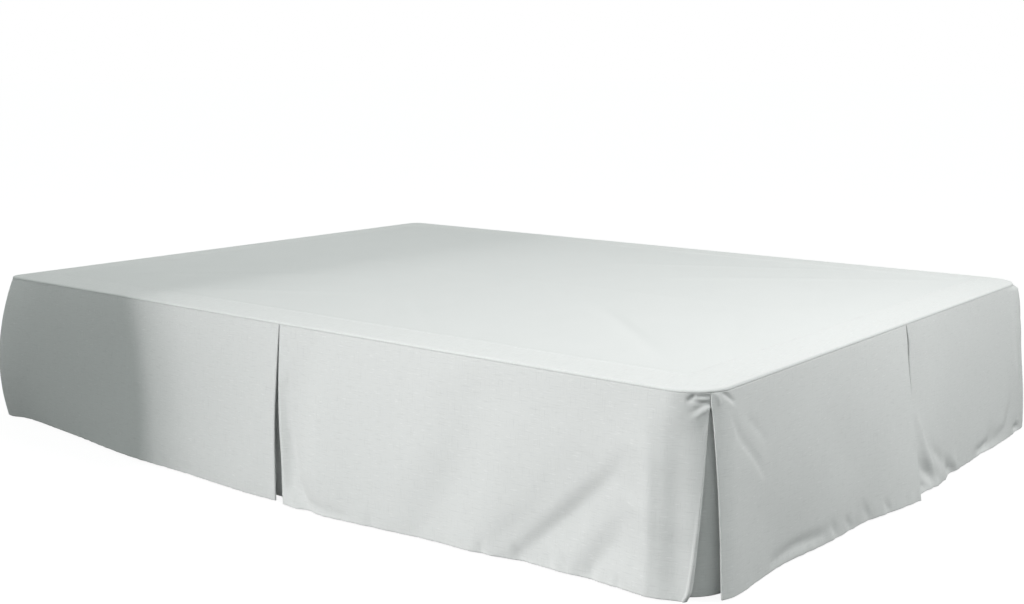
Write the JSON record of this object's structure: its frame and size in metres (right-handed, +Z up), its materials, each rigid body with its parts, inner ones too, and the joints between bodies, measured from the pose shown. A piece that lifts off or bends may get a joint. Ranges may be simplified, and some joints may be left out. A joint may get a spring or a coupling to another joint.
{
  "type": "bed skirt on a bed base",
  "caption": "Tailored bed skirt with inverted pleats, hanging in flat drops from a deck panel that lies on a plain box spring and low steel frame; open at the head end",
  "frame": {"origin": "on the floor, under the middle of the whole outline", "axes": "+Z up, +Y toward the head of the bed, +X to the sleeper's side that faces away from the pictured one"},
  "size_m": [1.6833, 2.145, 0.3615],
  "materials": {
    "drop_cloth": "plain weave cotton blend with a soft sheen, off-white with a cool grey cast",
    "deck_cloth": "plain weave cotton blend, off-white, matt",
    "ticking": "plain woven ticking, matt",
    "rail_paint": "dark satin paint on steel angle",
    "leg_paint": "dark satin paint on round steel legs"
  },
  "bodies": {
    "root": {"deck": "deck_cloth", "side_drop_left": "drop_cloth", "foot_drop": "drop_cloth", "side_drop_right": "drop_cloth", "box_spring": "ticking", "side_rail_left": "rail_paint", "side_rail_right": "rail_paint", "cross_rail_foot": "rail_paint", "cross_rail_middle": "rail_paint", "cross_rail_head": "rail_paint", "leg_centre": "leg_paint", "leg_foot_left": "leg_paint", "leg_foot_right": "leg_paint", "leg_middle_left": "leg_paint", "leg_middle_right": "leg_paint", "leg_head_left": "leg_paint", "leg_head_right": "leg_paint"}
  },
  "joints": []
}
